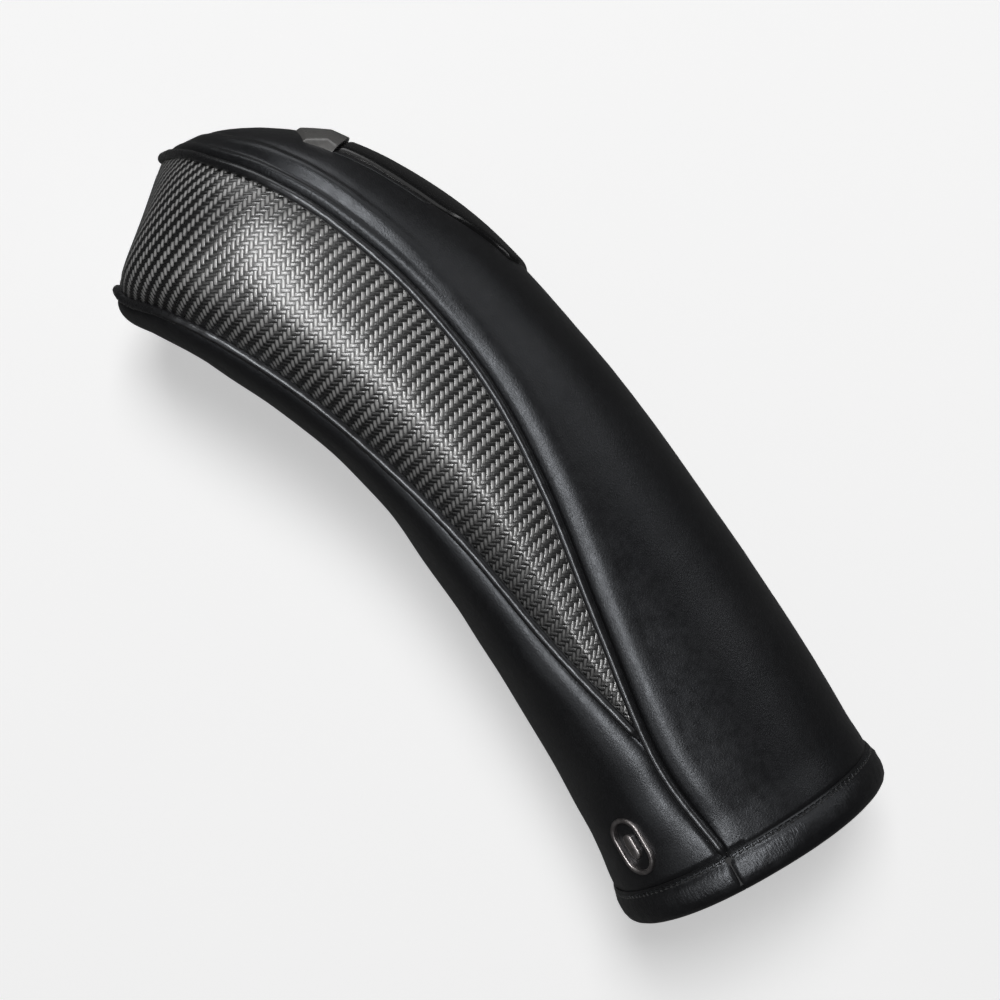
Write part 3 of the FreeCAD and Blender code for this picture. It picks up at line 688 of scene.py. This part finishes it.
# Plan points (x, z) of the crown's fittings, from the mid-plane outwards.
PLATE_FRONT = [(-124.0, 0.0), (-119.0, 41.0)]
PLATE_BACK = [(-47.5, 0.0), (-50.0, 26.0), (-53.0, 33.0)]
CAP_FRONT = [(-138.5, 0.0), (-136.0, 27.0), (-129.0, 42.0)]
CAP_BACK = [(-124.5, 0.0), (-119.1, 44.5)]
FRAME_START, FRAME_END = (-119.0, 41.0), (-60.0, 43.0)


def plate_sides():
    """Dense lines on the crown along both long edges of the plate."""
    x, z = np.linspace(FRAME_START, FRAME_END, 60).T
    return on_crown(x, z), on_crown(x, -z)


def on_crown(x, z, out=0.0):
    """Points of the crown surface above plan places (x, z)."""
    x, z, out = np.broadcast_arrays(x, z, np.asarray(out, float))
    low, high = np.zeros(x.shape), np.full(x.shape, 0.9)
    for _ in range(34):
        w = (low + high) / 2
        point = crown_point(w, z, out)
        low = np.where(point[..., 0] < x, w, low)
        high = np.where(point[..., 0] < x, high, w)
    return crown_point((low + high) / 2, z, out)


def crown_point(w, z, out):
    """Point of a section's crown side at height z above the mid-plane."""
    centre, up, height, half, power = section(w, out)
    share = np.clip(np.abs(z) / half, 0, 0.999)
    level = (1 - share ** power) ** (1 / power)
    plan = centre + up * (height * level)[..., None]
    return np.concatenate([plan, np.asarray(z, float)[..., None]], -1)


def crown_panel():
    """Crown and neck leather, with the padded swell along the seam."""
    grid = panel_grid((upper_angle, crown_middle), crown_bounds,
                      0.0006, SKIN_END, 1.0, EDGE_MARGIN, 52)
    w, angle, _ = grid
    points = surface(w, angle)
    distance, along = Nearest(UPPER_LINE).measure(points)
    frame_gap, _ = Nearest(*plate_sides()).measure(points)
    frame_gap = frame_gap + 20.0 * ease(points[..., 0], -86.0, -72.0)
    neck = ease(w, 0.28, 0.54)
    out = profile(distance, HEAD_SWELL) * (1 - neck) + profile(distance, NECK_SWELL) * neck
    toe = ease(w, 0.05, 0.30)
    calm = ease(distance, 4.0, 14.0)
    out = np.where(out > 0, out * (0.15 + 0.85 * toe), out)
    out = out - 0.8 * calm * (ease(w, 0.0, 0.06) - ease(w, 0.14, 0.26))
    out = out + calm * (1 - 0.6 * neck) * (0.22 * ripple(points, 34.0) + 0.06 * ripple(points, 13.0))
    out = at_cuff(points, out)
    return skin_panel("crown_leather", grid, out, "crown_leather", "panel_leather",
                      seam=distance, along=along, frame=frame_gap)


def under_panel():
    """Leather under the cover and along its concave edge."""
    grid = panel_grid((lower_angle, under_middle), under_bounds,
                      0.0006, SKIN_END, 1.05, EDGE_MARGIN, 40)
    w, angle, _ = grid
    points = surface(w, angle)
    w_edge = np.linspace(1.0, 0.0, 3000)
    edge = surface(w_edge, lower_angle(w_edge))
    edge = even(np.concatenate([edge, edge[::-1] * FLIP]), LINE_STEP)
    distance, along = Nearest(edge).measure(points)
    out = profile(distance, UNDER_SWELL)
    out = np.where(out > 0, out * (0.4 + 0.6 * ease(w, 0.02, 0.12)), out)
    calm = ease(distance, 4.0, 14.0)
    out = out + calm * (0.22 * ripple(points, 34.0) + 0.06 * ripple(points, 13.0))
    out = at_cuff(points, out)
    return skin_panel("under_leather", grid, out, "under_leather", "panel_leather",
                      seam=distance, along=along)


UPRIGHT_TOW, LEVEL_TOW = 1.52, 1.40        # widths of the two sets of tows
TOE_IN = np.array([0.885, 0.466])          # from the toe into the cover
TOE_DOWN = np.array([0.466, -0.885])       # down the toe


def unrolled(points, angle_reach, w):
    """Place on the flat woven cloth, in tow widths, for points of the side band.

    The rows run from the toe. Near it the cloth follows the real curve of the surface, and
    further on it lies flat in the mid-plane's direction.
    """
    centre, up, _, _, _ = section(w, np.zeros_like(w))
    plan = centre - up * angle_reach[..., None]
    inward = (plan - STATIONS[0][:2]) @ TOE_IN
    down = (plan - STATIONS[0][:2]) @ TOE_DOWN
    bend = TOE_RADIUS
    start = (math.pi / 2 - 1) * bend
    rolled = np.where(inward < bend, bend * np.arccos(1 - np.clip(inward, 0, bend) / bend),
                      inward + start)
    side = np.abs(points[..., 2])
    step = np.hypot(np.diff(inward, axis=0), np.diff(side, axis=0))
    arc = np.cumsum(np.concatenate([side[:1], step]), axis=0)
    rolled = arc + (rolled - arc) * ease(arc, 12.0, 70.0)
    rolled = np.where(points[..., 2] >= 0, rolled, -rolled) - start
    flat = rolled[..., None] * TOE_IN + down[..., None] * TOE_DOWN
    diagonal = math.sqrt(0.5)
    u = flat @ np.array([diagonal, diagonal]) / UPRIGHT_TOW
    v = flat @ np.array([-diagonal, diagonal]) / LEVEL_TOW
    return np.stack([u, v, np.zeros_like(u)], -1)


def gusset_band():
    """Woven band round the toe, one strip from tip to tip."""
    w, angle, reach = panel_grid((upper_angle, lower_angle), band_bounds,
                                 0.0, JUNCTION - 0.001, 1.1, EDGE_MARGIN, 34)
    near = surface(w, angle)
    distance, _ = Nearest(UPPER_LINE, LOWER_LINE).measure(near)
    out = profile(distance, BAND_SWELL) + 0.12 * ripple(near, 40.0) * ease(distance, 3.0, 12.0)
    toe = 1 - ease(w, 0.0, 0.22)
    out = np.where(out > 0, out * (1 - toe), out) - 0.8 * toe * ease(distance, 1.0, 6.0)
    weave = unrolled(near, reach, np.broadcast_to(w, angle.shape))
    far_weave = unrolled(near * FLIP - (0, 0, 1e-6), reach, np.broadcast_to(w, angle.shape))
    outer = surface(w, angle, np.maximum(out, LOWEST))
    inner = surface(w, angle, -SKIN)
    low, _ = Nearest(LOWER_LINE).measure(near)
    # painted shade: darkens the band's colour towards its tip at the mouth end and beside the lower
    # seam, where shade falls on the real band
    tone = (1 - 0.55 * ease(w, 0.50, 0.78)) * (0.55 + 0.45 * ease(low, 1.0, 20.0))

    def whole(grid):
        """The near half from its tip to the toe, then the mirrored far half."""
        return np.concatenate([grid[::-1], grid * FLIP])

    points, faces = closed_sheet(whole(outer), whole(inner))
    cloth = np.concatenate([weave[::-1], far_weave]).reshape(-1, 3)
    tone = np.concatenate([tone[::-1], tone]).ravel()
    piece = make_mesh("woven_band", points, faces, MATERIALS["carbon_weave"], "carbon_weave",
                      weave=np.concatenate([cloth] * 2), tone=np.concatenate([tone] * 2))
    return piece


def lining(name, curves, bounds, node):
    """Plush panel of the inner wall."""
    coarse = np.array([0.0, 1.5, 4.0])
    w, angle, _ = panel_grid(curves, bounds, 0.003, SKIN_END, 2.2, 0.35, 36, coarse)
    outer = surface(w, angle, -LINING_OUT)
    base = surface(w, angle, -LINING_IN)
    pile = 0.35 * ripple(base, 5.0) + 0.5 * ripple(base, 17.0)
    pile = pile * ease(behind_mouth(base), CUFF_WIDTH, CUFF_WIDTH + 6.0)
    inner = surface(w, angle, -LINING_IN - 0.5 + 0.6 * np.clip(pile, -1.2, 1.2))
    points, faces = closed_sheet(outer, inner)
    piece = make_mesh(name, points, faces, MATERIALS["plush_lining"], "plush_lining")
    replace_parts(piece, node)


# ---------- pipings and cuffs

BEAD_RADIUS = 1.75
BEAD_SUNK = 0.3
BEAD_STEP = 0.9
BEAD_SIDES = 20


def relaxed(line, passes=12):
    """A polyline smoothed a little, with its ends kept."""
    for _ in range(passes):
        line[1:-1] = (line[:-2] + 2 * line[1:-1] + line[2:]) / 4
    return line


def piping(name, line, node):
    """Round leather-covered bead lying in a seam, tapered at both ends."""
    path = relaxed(even(line, BEAD_STEP))
    wobble = 1 + 0.025 * ripple(path, 7.0) + 0.015 * ripple(path, 2.5)
    count = np.arange(len(path))
    wobble = wobble * (0.45 + 0.55 * ease(np.minimum(count, count[::-1]), 0, 4))
    outline = circle(BEAD_RADIUS, BEAD_SIDES)[None] * wobble[:, None, None]
    points, faces = sweep(path, outline)
    along = np.repeat(count * BEAD_STEP, BEAD_SIDES)
    piece = make_mesh(name, points, faces, MATERIALS["piping_leather"], "piping_leather",
                      along=along)
    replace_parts(piece, node)


def mouth_w(behind, angle):
    """Value of w at a distance behind the mouth plane, for each angle."""
    low, high = np.full(np.shape(angle), 0.7), np.full(np.shape(angle), 1.1)
    for _ in range(30):
        middle = (low + high) / 2
        deep = behind_mouth(surface(middle, angle)) > behind
        low, high = np.where(deep, middle, low), np.where(deep, high, middle)
    return (low + high) / 2


# Section of the folded cuff: (distance behind the rim, height outside the cover).
CUFF_SECTION = [
    (12.55, 0.05), (12.75, 0.45), (12.60, 0.95), (12.15, 1.30), (11.6, 1.45), (11.0, 1.40),
    (10.5, 1.50), (9.8, 1.85), (8.6, 2.20), (7.0, 2.40), (5.2, 2.42), (3.4, 2.25), (1.8, 1.80),
    (0.7, 1.05), (-0.1, -0.1), (-0.6, -1.4), (-0.7, -3.0), (-0.4, -4.4), (0.4, -5.5), (1.6, -6.2),
    (3.4, -6.5), (6.0, -6.55), (9.0, -6.45), (11.6, -6.35), (12.5, -6.0), (12.4, -5.3),
    (9.0, -5.12), (5.0, -5.12), (1.7, -5.12), (1.7, -2.5), (1.7, 0.02), (5.0, 0.02), (9.0, 0.02),
]
NOTCH = 0.25               # each half cuff stops this far from the side seam


def cuff(name, start, end, node):
    """Half of the hem: leather folded over the rim and over the lining."""
    count = 260
    angle = np.linspace(start, end, count)
    base = surface(mouth_w(6.0, angle), angle)
    reach = run_length(base)
    even_reach = np.linspace(NOTCH, reach[-1] - NOTCH, count)
    angle = np.interp(even_reach, reach, angle)
    to_end = np.minimum(even_reach, reach[-1] - even_reach) - NOTCH
    round_end = 1 - 0.35 * np.clip(1 - to_end / 1.6, 0, 1) ** 2
    behind, out = np.array(CUFF_SECTION).T
    grid = np.zeros((count, len(behind), 3))
    for k in range(len(behind)):
        height = out[k]
        if height > 0.1:
            crimp = ripple(base, 9.0) * 0.08 + ripple(base, 4.0) * 0.04
            height = height * round_end + crimp * ease(height, 0.8, 2.2)
        grid[:, k] = surface(mouth_w(behind[k], angle), angle, height)
    along = np.repeat(even_reach, len(behind))
    faces = [tuple(f) for f in grid_faces(count, len(behind), wrap_columns=True)]
    faces.append(tuple(range(len(behind))))
    faces.append(tuple(range((count - 1) * len(behind), count * len(behind))))
    piece = make_mesh(name, grid.reshape(-1, 3), faces, MATERIALS["cuff_leather"], "cuff_leather",
                      seam=np.tile(behind, count), along=along)
    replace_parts(piece, node)


def stitches():
    """Row of short threads sunk into the cuff near its upper edge."""
    length, radius, pitch = 1.7, 0.30, 2.5
    angle = np.linspace(0, 2 * math.pi, 900)
    ring = surface(mouth_w(11.0, angle), angle, 1.45)
    reach = run_length(ring)
    seam = float(upper_angle(0.98))
    points, faces = [], []
    taper = np.array([0.25, 0.8, 1.0, 1.0, 0.8, 0.25])
    for target in np.arange(pitch / 2, reach[-1], reach[-1] / round(reach[-1] / pitch)):
        here = float(np.interp(target, reach, angle))
        if min(abs(here - seam), abs(here - (2 * math.pi - seam))) < 0.035:
            continue
        places = np.interp(target + np.linspace(-length / 2, length / 2, 6), reach, angle)
        sunk = np.array([-0.35, -0.05, 0.05, 0.05, -0.05, -0.35])
        path = surface(mouth_w(11.0, places), places, 1.30 + sunk)
        outline = circle(radius, 8)[None] * taper[:, None, None]
        tube, quads = sweep(path, outline)
        offset = sum(len(p) for p in points)
        points.append(tube)
        faces += [tuple(i + offset for i in f) for f in quads]
    piece = make_mesh("cuff_thread", np.concatenate(points), faces, MATERIALS["thread"], "thread")
    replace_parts(piece, "cuff_stitches")


# ---------- crown plate and badge

def spread_places(count, fine):
    """Shares from 0 to 1, close together at both ends."""
    return np.concatenate([fine, np.linspace(fine[-1], 1 - fine[-1], count)[1:-1], 1 - fine[::-1]])


def edge_curve(points, z_values):
    """Plan x of an edge given by (x, z) points, at each z."""
    x, z = np.array(points).T
    order = np.argsort(z)
    return np.interp(np.abs(z_values), z[order], x[order])


def crown_part(name, front, back, half_at, height, slot, node):
    """Raised plate on the crown between two edges, with rounded shoulders."""
    fine = np.array([0.0, 0.0025, 0.006, 0.011, 0.02])
    s = spread_places(40, fine)
    t = spread_places(56, fine) * 2 - 1
    s, t = np.meshgrid(s, t, indexing="ij")
    z = t * half_at(s)
    x = edge_curve(front, t * half_at(0.0)) * (1 - s) + edge_curve(back, t * half_at(1.0)) * s
    top = on_crown(x, z, height(s, t))
    bottom = on_crown(x, z, -0.25)
    points, faces = closed_sheet(top, bottom)
    piece = make_mesh(name, points, faces, MATERIALS[slot], slot)
    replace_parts(piece, node)


def plate_half(s):
    """Half width of the plate, drawn in towards its neck end."""
    return 41.0 + 2.0 * ease(s, 0.0, 0.5) - 10.0 * ease(s, 0.55, 1.0)


def cap_half(s):
    """Half width of the end cap."""
    return 42.0 + 2.5 * np.asarray(s)


def shoulder(s, t, width_s, width_t):
    """Rise from the outline to the full height: 0 at an edge, 1 a little way in."""
    a = np.clip(np.minimum(s, 1 - s) / width_s, 0, 1)
    b = np.clip((1 - np.abs(t)) / width_t, 0, 1)
    return np.sqrt(1 - (1 - a) ** 2) * np.sqrt(1 - (1 - b) ** 2)


def plate_height(s, t):
    """Glossy plate: flat, with a thin rounded shoulder."""
    return 0.25 + 1.1 * shoulder(s, t, 0.02, 0.045)


def cap_height(s, t):
    """Grey end cap: a ridge near the plate and a long facet down to the toe."""
    facet = np.where(s < 0.55, 0.9 + 1.9 * s / 0.55, 2.8 - 0.7 * (s - 0.55) / 0.45)
    return 0.15 + facet * shoulder(s, t, 0.03, 0.02)


def stadium(length, width, count=64):
    """Points of an elongated oval about the origin."""
    radius = width / 2
    half = length / 2 - radius
    angle = np.linspace(0, 2 * math.pi, count, endpoint=False)
    return np.stack([radius * np.cos(angle) + half * np.sign(np.cos(angle)),
                     radius * np.sin(angle)], -1)


BADGE_LENGTH, BADGE_WIDTH, BADGE_RIM = 21.0, 14.0, 1.7
BADGE_TOP = 1.6
HEART_LENGTH, HEART_WIDTH = 9.0, 4.2
BADGE_W, BADGE_N = 0.868, -0.75         # place of the badge along the cover and down its side
BADGE_HEADING = (0.987, -0.162, 0.0)


def badge_frame():
    """Origin and axes of the badge on the under panel."""
    w, n = BADGE_W, BADGE_N
    power = float(smooth(5, w))
    angle = math.atan2((1 - abs(n) ** power) ** (1 / power), n)
    here, ahead = surface(w, angle, 0.1), surface(w + 0.002, angle, 0.1)
    up = surface(w, angle - 0.01, 0.1)
    out = np.cross(ahead - here, up - here)
    out /= np.linalg.norm(out)
    if out[2] < 0:
        out = -out
    heading = np.array(BADGE_HEADING)
    heading -= out * (heading @ out)
    heading /= np.linalg.norm(heading)
    return here, heading, np.cross(out, heading), out


def badge():
    """Polished oval ring with a solid oval inside it."""
    here, along, over, out = badge_frame()
    ring = stadium(BADGE_LENGTH - BADGE_RIM, BADGE_WIDTH - BADGE_RIM, 96)
    path = here + ring[:, :1] * along + ring[:, 1:] * over
    half, top = BADGE_RIM / 2, BADGE_TOP
    outline = [(-half, -0.3), (-half, top - 0.45), (-half + 0.18, top - 0.12), (-half + 0.45, top),
               (half - 0.45, top), (half - 0.18, top - 0.12), (half, top - 0.45), (half, -0.3)]
    normals = np.tile(out, (len(path), 1))
    points, faces = sweep(path, outline, closed=True, normals=normals)
    piece = make_mesh("badge_oval_ring", points, faces, MATERIALS["badge_metal"], "badge_metal")
    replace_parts(piece, "badge_ring")
    rings = []
    for inset, height in ((0.0, -0.3), (0.0, 1.15), (0.12, 1.42), (0.4, 1.6), (1.2, 1.72),
                          (1.9, 1.76)):
        oval = stadium(HEART_LENGTH - 2 * inset, HEART_WIDTH - 2 * inset)
        rings.append(here + oval[:, :1] * along + oval[:, 1:] * over + out * height)
    rings = np.array(rings)
    faces = [tuple(f) for f in grid_faces(len(rings), rings.shape[1], wrap_columns=True)]
    faces += [tuple(range(rings.shape[1])),
              tuple(range((len(rings) - 1) * rings.shape[1], rings.size // 3))]
    heart = make_mesh("badge_oval", rings.reshape(-1, 3), faces, MATERIALS["badge_metal"],
                      "badge_metal")
    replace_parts(heart, "badge_heart")


# ---------- assembling

def build_cover():
    """Every visible piece of the cover."""
    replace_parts(crown_panel(), "crown_panel")
    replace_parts(under_panel(), "under_panel")
    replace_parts(gusset_band(), "gusset_band")
    at_hem = float(mouth_w(CUFF_WIDTH - 0.6, upper_angle(0.97)))
    piping("upper_piping", seam_curve(UPPER, at_hem, -BEAD_SUNK), "upper_piping_cover")
    piping("lower_piping", seam_curve(LOWER, JUNCTION - 0.004, -BEAD_SUNK), "lower_piping_cover")
    seam = float(upper_angle(0.985))
    cuff("crown_hem", -seam, seam, "crown_cuff")
    cuff("under_hem", seam, 2 * math.pi - seam, "under_cuff")
    stitches()
    lining("crown_plush", (upper_angle, crown_middle), crown_bounds, "crown_lining")
    lining("under_plush", (lower_angle, under_middle), under_bounds, "under_lining")
    crown_part("gloss_plate", PLATE_FRONT, PLATE_BACK, plate_half, plate_height,
               "gloss_plate", "crown_plate")
    crown_part("end_cap", CAP_FRONT, CAP_BACK, cap_half, cap_height,
               "grey_cap", "plate_end_cap")
    badge()


CARRIED = {
    "gusset_lining": "plush_lining",
    "crown_foam": "padding_foam", "gusset_foam": "padding_foam", "under_foam": "padding_foam",
    "upper_piping_cord": "piping_cord", "lower_piping_cord": "piping_cord",
    "cuff_webbing": "webbing", "neck_elastic": "elastic", "badge_retainer": "retainer_steel",
}


def dress_frame():
    """Materials of the CAD nodes that are carried over as they are."""
    for node, material in CARRIED.items():
        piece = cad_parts[node]
        piece.data.materials.clear()
        piece.data.materials.append(MATERIALS[material])
        piece.data.polygons.foreach_set("use_smooth", [True] * len(piece.data.polygons))


# ---------- the studio

IMAGE_RIGHT = Vector((math.sqrt(0.5), math.sqrt(0.5), 0))
IMAGE_UP = Vector((-math.sqrt(0.5), math.sqrt(0.5), 0))
FLOOR_GLOW = 0.49          # light that the floor gives off by itself
DARK_ROOM = 0.045          # brightness of the studio round the floor, as the gloss sees it
LAMP_TARGET = Vector((0, 0, 0.05))
# Lamps that only the gloss shows: name, right, up, height, (width, length), power.
GLOSS_LAMPS = [
    ("tall_strip", -0.36, 0.10, 1.30, (0.22, 1.3), 17.0),
    ("left_fill", -1.1, -0.5, 1.0, (0.5, 1.0), 1.6),
    ("right_edge", 1.2, 0.9, 0.7, (0.10, 1.4), 1.8),
    ("crown_wall", -0.3, 1.7, 0.35, (1.4, 0.9), 9.0),
    ("crown_fill", 0.5, 1.2, 1.00, (1.2, 1.2), 3.0),
]


def floor():
    """Large pale floor that glows a little, as an evenly lit sweep does."""
    bpy.ops.mesh.primitive_plane_add(size=60.0, location=(0, 0, -0.0004))
    plane = bpy.context.object
    plane.name = "studio_floor"
    g = Graph("studio_floor")
    tone = g.colours(g.noise(300.0), (0.3, (0.80, 0.80, 0.80)), (0.7, (0.81, 0.81, 0.81)))
    g.feed(g.shader.inputs["Emission Color"], (1.0, 1.0, 1.0, 1.0))
    g.feed(g.shader.inputs["Emission Strength"], FLOOR_GLOW)
    plane.data.materials.append(g.finish(tone, 0.9, Specular_IOR_Level=0.0))
    plane.visible_glossy = False


def soft_box(name, right, up, height, size, power):
    """Rectangular lamp placed in the directions of the picture and aimed at the cover."""
    lamp = bpy.data.lights.new(name, "AREA")
    lamp.shape = "RECTANGLE"
    lamp.size, lamp.size_y = size
    lamp.energy = power
    holder = bpy.data.objects.new(name, lamp)
    holder.location = IMAGE_RIGHT * right + IMAGE_UP * up + Vector((0, 0, height))
    away = (holder.location - LAMP_TARGET).normalized()
    across = (IMAGE_RIGHT - away * IMAGE_RIGHT.dot(away)).normalized()
    axes = Matrix((across, away.cross(across), away)).transposed()
    holder.rotation_euler = axes.to_euler()
    bpy.context.scene.collection.objects.link(holder)
    return holder


def lights():
    """Lamps for the floor's soft shadow and for the gloss, and a dark studio round them."""
    shadow = soft_box("shadow_lamp", -0.05, 0.80, 2.30, (0.75, 0.75), 29.5)
    shadow.visible_glossy = False
    for name, right, up, height, size, power in GLOSS_LAMPS:
        lamp = soft_box(name, right, up, height, size, power)
        lamp.visible_diffuse = False
    world = bpy.data.worlds.new("studio")
    world.use_nodes = True
    tree = world.node_tree
    background = tree.nodes["Background"]
    background.inputs["Color"].default_value = (1, 1, 1, 1)
    rays = tree.nodes.new("ShaderNodeLightPath")
    strength = tree.nodes.new("ShaderNodeMapRange")
    strength.inputs["To Min"].default_value = DARK_ROOM
    strength.inputs["To Max"].default_value = FLOOR_GLOW
    tree.links.new(rays.outputs["Is Camera Ray"], strength.inputs["Value"])
    tree.links.new(strength.outputs[0], background.inputs["Strength"])
    bpy.context.scene.world = world


VIEW_WIDTH = 0.355 / 0.78  # width of the view at one metre
CAMERA_PLACE = (0.0038, 0.0036, 0.8403)


def camera():
    """Straight down on the near side, turned so that the cover lies diagonally."""
    lens = bpy.data.cameras.new("camera")
    lens.sensor_width = 36.0
    lens.lens = lens.sensor_width / VIEW_WIDTH
    holder = bpy.data.objects.new("camera", lens)
    holder.location = CAMERA_PLACE
    holder.rotation_euler = (0, 0, math.radians(45))
    bpy.context.scene.collection.objects.link(holder)
    bpy.context.scene.camera = holder


build_cover()
dress_frame()
floor()
lights()
camera()
bpy.context.scene.view_settings.view_transform = "Standard"
